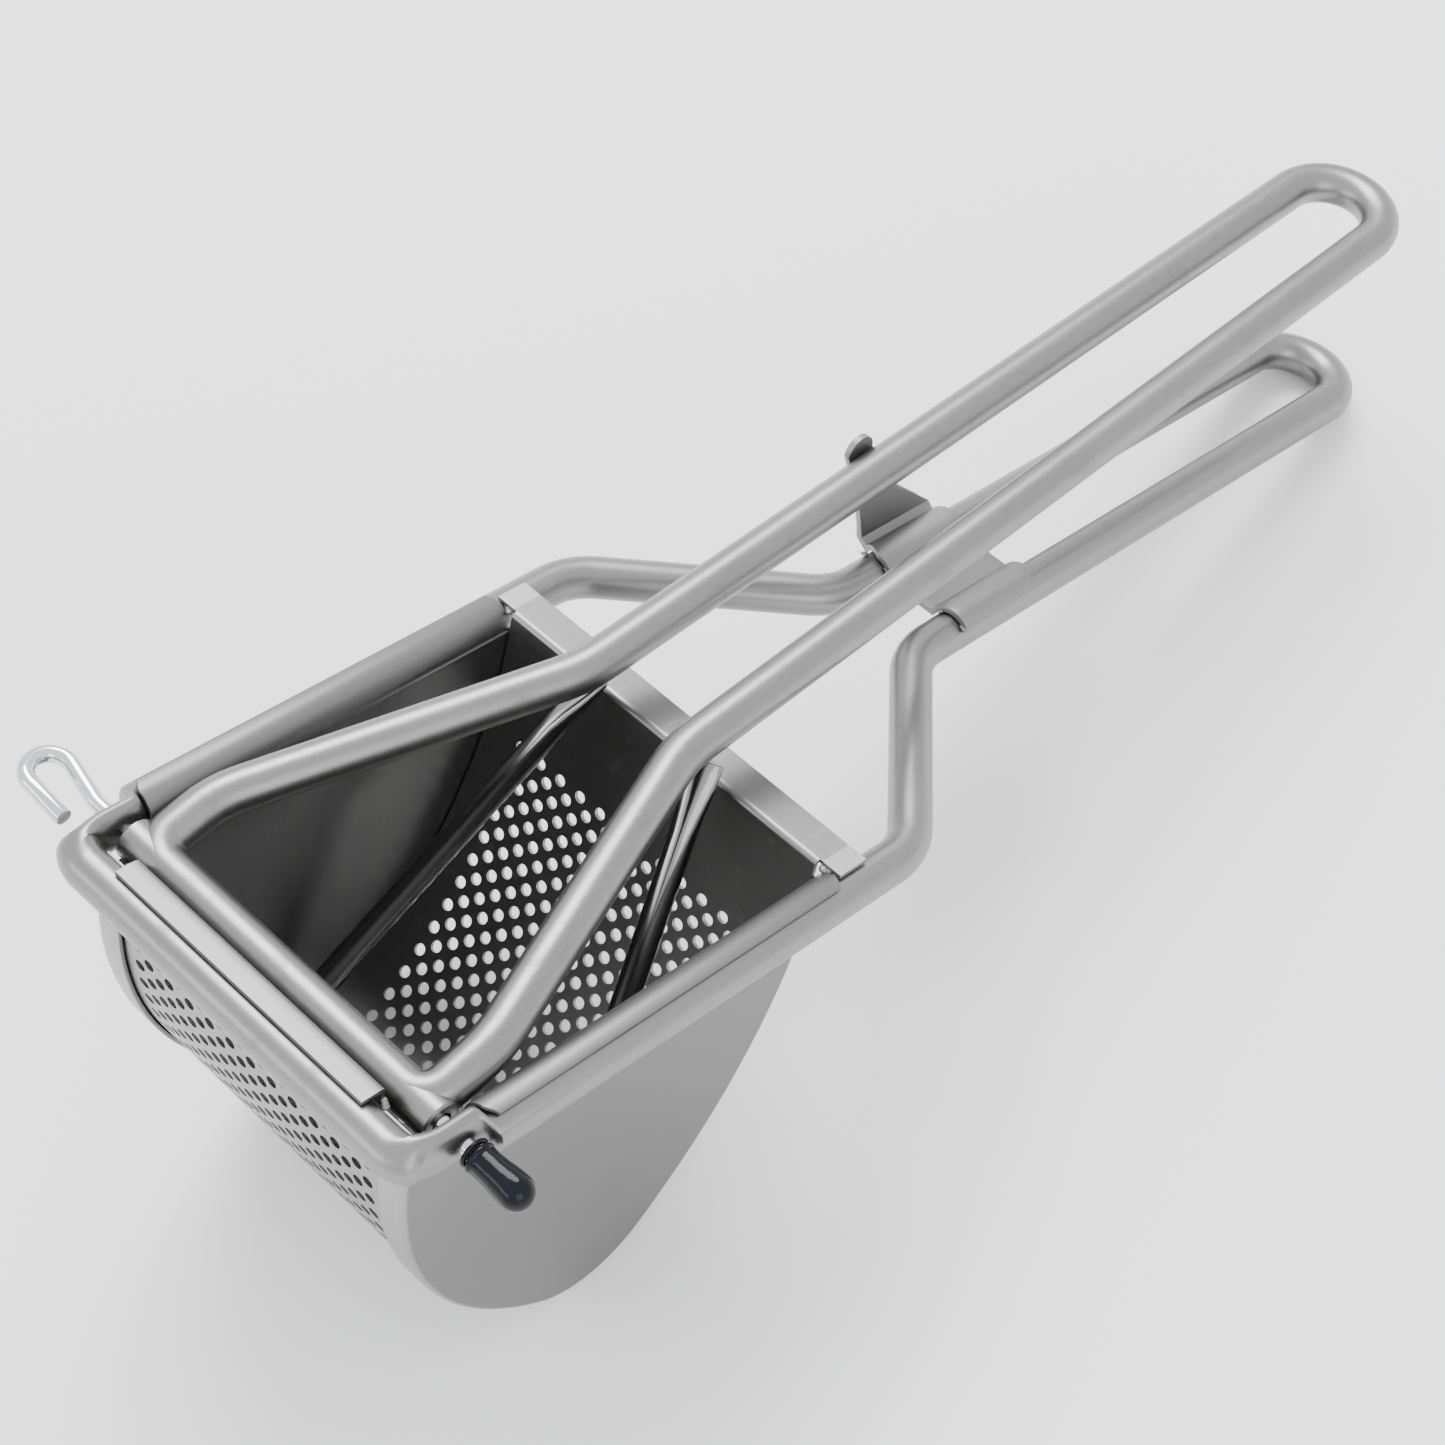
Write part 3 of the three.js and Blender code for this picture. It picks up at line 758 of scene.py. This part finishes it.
def barrel_end(bm):
    """The squared-off, bored end of the hinge barrel beyond the rail's bend."""
    start = PRESS_X - PRESS_CORNER_BEND
    first, last = bent_tube(bm, [(start, PIN_Y, 0), (SHEET_X - BARREL_CHAMFER, PIN_Y, 0)],
                            [], TUBE_R - BARREL_INSET)
    bmesh.ops.edgeloop_fill(bm, edges=first)
    rim = pull_out(bm, last, Vector((BARREL_CHAMFER, 0, 0)))
    narrow_ring(bm, rim, BARREL_RIM)
    bore = pull_out(bm, rim, Vector((0, 0, 0)))
    narrow_ring(bm, bore, PIN_HOLE_R / (TUBE_R * BARREL_RIM))
    deep = pull_out(bm, bore, Vector((-BORE_DEPTH, 0, 0)))
    bmesh.ops.edgeloop_fill(bm, edges=deep)


def narrow_ring(bm, edges, share):
    ring = list({vert for edge in edges for vert in edge.verts})
    bmesh.ops.scale(bm, verts=ring, vec=(1, share, share),
                    space=Matrix.Translation((0, -PIN_Y, 0)))


def make_press_plate():
    inset = 2 * SHEET + GAP + PLATE_FRONT_GAP + PLATE_THICK
    reach = MOUTH_BACK_Y - 2 * SHEET - GAP - PLATE_BACK_GAP - PIN_Y
    line = [p for p in profile_points(inset, 2.0) if p.x < heel_centre.x - 5
            and (p - Vector((PIN_Y, 0))).length < reach]
    line.insert(0, Vector((line[0].x, PLATE_TOP_Z)))
    bm = bmesh.new()
    half = SHEET_X - PLATE_SIDE_GAP
    verts = [bm.verts.new((-half, p.x, p.y)) for p in line]
    edges = [bm.edges.new(pair) for pair in zip(verts, verts[1:])]
    pull_out(bm, edges, Vector((2 * half, 0, 0)))
    bmesh.ops.recalc_face_normals(bm, faces=bm.faces)
    bm.faces.ensure_lookup_table()
    bm.normal_update()
    if bm.faces[0].normal.y < 0:
        bmesh.ops.reverse_faces(bm, faces=bm.faces)
    settle(bm, "press_plate_sheet", "press", PRESSING_STEEL, ["press_plate"],
           thick=PLATE_THICK, bevel=0.25)


PINCH_FROM = 0.86                 # share of the brace's length
PINCH_TO = 0.98


def make_brace(side, name):
    """A thin tube, its upper end pinched under the rail."""
    bm = bmesh.new()
    foot, head = BRACE_FOOT.copy(), BRACE_HEAD.copy()
    along = (head - foot).normalized()
    bent_tube(bm, [foot, head], [], BRACE_R, closed_ends=True)
    across = along.to_track_quat("Z", "Y").to_matrix().to_4x4()
    for share in (PINCH_FROM, 0.9, 0.94, 0.97):
        bmesh.ops.bisect_plane(bm, geom=bm.verts[:] + bm.edges[:] + bm.faces[:],
                               dist=0.0001, plane_co=foot.lerp(head, share), plane_no=along)
    for vert in bm.verts:
        share = (vert.co - foot).dot(along) / (head - foot).length
        pinch = smooth_step(PINCH_FROM, PINCH_TO, share)
        local = across.inverted().to_3x3() @ (vert.co - foot)
        local.x *= 1 + 0.2 * pinch
        local.y *= 1 - 0.5 * pinch
        vert.co = foot + across.to_3x3() @ local
    if side < 0:
        bmesh.ops.scale(bm, vec=(-1, 1, 1), verts=bm.verts)
    settle(bm, name + "_tube", "press", BRACE_STEEL, [name], bevel=0.3)


# ------------------------------------------------------------------ pin, ring and cap
EAR_X = 44.0
RING_X = EAR_X + 1.2
CAP_X = RING_X + 1.2
CAP_LENGTH = 12.0
CAP_R = 3.2
PIN_END_X = CAP_X + 8.5
CAP_NECK_R = 2.75
CAP_LIP_R = 0.6
RING_R = 2.9
RING_HALF_WIDTH = 0.45
PIN_ROUTE = [(PIN_END_X, PIN_Y, 0), (-RAIL_X - 4.5, PIN_Y, 0),
             (-RAIL_X - 20.47, PIN_Y + 3.4, 1), (-RAIL_X - 16.47, PIN_Y - 6.6, 1.2),
             (-RAIL_X - 4.3, PIN_Y - 6.8, 0.6)]
PIN_BENDS = [6, 3.9, 4.6]


def make_pin():
    bm = bmesh.new()
    bent_tube(bm, PIN_ROUTE, PIN_BENDS, PIN_R, sides=24, closed_ends=True)
    settle(bm, "pin_wire", "hinge_pin", WIRE, ["hinge_pin"], bevel=0.3)


def turned(bm, outline):
    """Spins an outline of (distance along X, radius) round the pin's axis."""
    verts = [bm.verts.new((x, PIN_Y, radius)) for x, radius in outline]
    edges = [bm.edges.new(pair) for pair in zip(verts, verts[1:])]
    bmesh.ops.spin(bm, geom=verts + edges, cent=(0, PIN_Y, 0), axis=(1, 0, 0),
                   dvec=(0, 0, 0), angle=2 * math.pi, space=Matrix.Identity(4), steps=48,
                   use_merge=True, use_duplicate=False)


def make_cap():
    """A dipped cap: a rolled lip, a narrow neck and a fuller round end."""
    bulb = Vector((CAP_X + CAP_LENGTH - CAP_R, 0))
    bore = PIN_R + GAP
    outline = [(PIN_END_X + GAP, 0), (PIN_END_X + GAP, bore), (CAP_X + 0.3, bore)]
    outline += [(CAP_X + CAP_LIP_R - CAP_LIP_R * math.cos(a), 2.4 + CAP_LIP_R * math.sin(a))
                for a in (math.pi * i / 10 - 0.2 for i in range(1, 10))]
    outline += [(CAP_X + 1.6, CAP_NECK_R), (CAP_X + 3.2, CAP_NECK_R + 0.02),
                (CAP_X + 4.6, CAP_NECK_R + 0.12), (CAP_X + 5.8, CAP_NECK_R + 0.28),
                (CAP_X + 6.8, CAP_R - 0.08), (CAP_X + 7.6, CAP_R - 0.02)]
    outline += [(p.x, p.y) for p in arc_points(bulb, CAP_R, math.pi / 2, 0)][:-1]
    outline.append((CAP_X + CAP_LENGTH, 0))
    bm = bmesh.new()
    turned(bm, outline)
    settle(bm, "cap_vinyl", "pin_cap", VINYL, ["pin_cap"], sharp=60)


def make_ring():
    hole = PIN_R + 0.25
    middle = Vector((RING_X + RING_HALF_WIDTH, (hole + RING_R) / 2))
    outline = [(middle.x + RING_HALF_WIDTH * math.cos(a),
                middle.y + (RING_R - hole) / 2 * math.sin(a))
               for a in (2 * math.pi * i / 16 for i in range(17))]
    bm = bmesh.new()
    turned(bm, outline)
    settle(bm, "ring_vinyl", "pin_cap", VINYL, ["pin_ring"], sharp=60)


# ------------------------------------------------------------------ welds
DROP_FLATNESS = 0.6
DROP_SPACING = 0.7                # share of a drop's radius


def bead(bm, start, end, radius):
    """A run of overlapping weld drops from start to end."""
    start, end = Vector(start), Vector(end)
    length = (end - start).length
    count = max(1, round(length / (radius * DROP_SPACING)) + 1)
    for i in range(count):
        middle = start.lerp(end, i / max(1, count - 1))
        wobble = 1 + 0.12 * math.sin(7.3 * i + start.x)
        drop = bmesh.ops.create_uvsphere(bm, u_segments=14, v_segments=8,
                                         radius=radius * wobble)["verts"]
        bmesh.ops.scale(bm, verts=drop, vec=(1, 1, DROP_FLATNESS))
        bmesh.ops.translate(bm, verts=drop, vec=middle)


def both_sides(bm, start, end, radius):
    for side in (-1, 1):
        turned_over = Vector((side, 1, 1))
        bead(bm, Vector(start) * turned_over, Vector(end) * turned_over, radius)


def make_welds():
    bm = bmesh.new()
    lip_y = MOUTH_BACK_Y - 1
    both_sides(bm, (39.6, lip_y, 4.0), (41.2, lip_y + 1.4, 3.9), 0.9)
    both_sides(bm, (39.4, lip_y + 4.4, 3.2), (40.2, lip_y + 5.0, 3.2), 0.8)
    for x in (-HANDLE_X, HANDLE_X):
        bead(bm, (x - 3.4, BRIDGE_FRONT_Y + 1.2, 3.0), (x - 2.6, BRIDGE_FRONT_Y + 1, 3.6), 0.5)
        bead(bm, (x + 2.6, BRIDGE_FRONT_Y + 1, 3.6), (x + 3.4, BRIDGE_FRONT_Y + 1.2, 3.0), 0.5)
    both_sides(bm, (30.8, 4.3, 3.0), (31.6, 4.0, 2.4), 0.7)
    settle(bm, "basket_welds", "basket", WELD, sharp=60)

    bm = bmesh.new()
    foot = BRACE_FOOT + Vector((-0.2, -0.3, -2.1))
    both_sides(bm, foot + Vector((-1.6, 0.2, 0)), foot + Vector((1.4, 0, 0)), 1.1)
    head = BRACE_HEAD + Vector((-0.4, 0.3, 1.2))
    both_sides(bm, head + Vector((0, -2.0, -0.3)), head + Vector((0, 1.4, 0.3)), 1.2)
    plate_y = FRONT_TOP.x + 2 * SHEET + GAP + PLATE_FRONT_GAP + PLATE_THICK
    for middle in (-22, 0, 22):
        bead(bm, (middle - 3, plate_y + 0.3, -2.9), (middle + 3, plate_y + 0.3, -2.9), 0.7)
    settle(bm, "press_welds", "press", WELD, sharp=60)


make_basket_frame()
make_side_plate(1, "side_plate_right")
make_side_plate(-1, "side_plate_left")
make_ricing_sheet()
make_bridge_plate()
make_press_frame()
make_press_plate()
make_brace(1, "brace_right")
make_brace(-1, "brace_left")
make_pin()
make_cap()
make_ring()
make_welds()


# ------------------------------------------------------------------ stage
CAMERA_PLACE = Vector((247.5, -239.1, 398.1))      # level position, millimetres
CAMERA_AHEAD = Vector((-0.421, 0.600, -0.681))
CAMERA_RIGHT = Vector((0.706, 0.688, 0.169))
CAMERA_LENS = 81.3


LIGHTS = [                        # name, place in metres, watts, size in metres
    ("key", (-0.75, 0.55, 1.25), 28, (0.9, 0.7)),
    ("fill", (1.25, -0.5, 0.8), 6, (0.9, 0.9)),
    ("front_strip", (-0.5, -1.3, 0.7), 5, (1.2, 0.35)),
]
SKY_STRENGTH = 2.1


def make_floor():
    bm = bmesh.new()
    bmesh.ops.create_circle(bm, cap_ends=True, radius=4.0, segments=96)
    mesh = bpy.data.meshes.new("table_top")
    bm.to_mesh(mesh)
    bm.free()
    floor = bpy.data.objects.new("table_top", mesh)
    bpy.context.scene.collection.objects.link(floor)
    shader = Shader("pale_table")
    place = shader.node("ShaderNodeTexCoord", output="Object")
    cloud = shader.noise(place, 3.0, 3.0, 0.5)
    tone = shader.mix(cloud, (0.95, 0.95, 0.945, 1), (0.97, 0.97, 0.965, 1))
    mesh.materials.append(shader.set(Base_Color=tone, Roughness=0.6))


def add_light(name, place, aim, power, size):
    lamp = bpy.data.lights.new(name, "AREA")
    lamp.energy = power
    lamp.shape = "RECTANGLE"
    lamp.size, lamp.size_y = size
    light = bpy.data.objects.new(name, lamp)
    bpy.context.scene.collection.objects.link(light)
    light.location = place
    light.rotation_euler = (Vector(aim) - Vector(place)).to_track_quat("-Z", "Y").to_euler()


def make_stage():
    make_floor()
    middle = (0, 0, 0.05)
    for name, place, power, size in LIGHTS:
        add_light(name, place, middle, power, size)
    world = bpy.data.worlds.new("studio")
    world.use_nodes = True
    world.node_tree.nodes["Background"].inputs["Color"].default_value = (0.80, 0.81, 0.83, 1)
    world.node_tree.nodes["Background"].inputs["Strength"].default_value = SKY_STRENGTH
    bpy.context.scene.world = world


def make_camera():
    data = bpy.data.cameras.new("camera")
    data.lens = CAMERA_LENS
    data.sensor_width = 36.0
    camera = bpy.data.objects.new("camera", data)
    bpy.context.scene.collection.objects.link(camera)
    ahead = CAMERA_AHEAD.normalized()
    right = (CAMERA_RIGHT - ahead * CAMERA_RIGHT.dot(ahead)).normalized()
    up = right.cross(ahead)
    turn = Matrix((right, up, -ahead)).transposed()
    lean = Matrix.Rotation(-REST_LEAN, 3, "X")
    camera.matrix_world = (Matrix.Translation(LEVEL_TO_REST @ CAMERA_PLACE)
                           @ (lean @ turn).to_4x4())
    bpy.context.scene.camera = camera


make_stage()
make_camera()
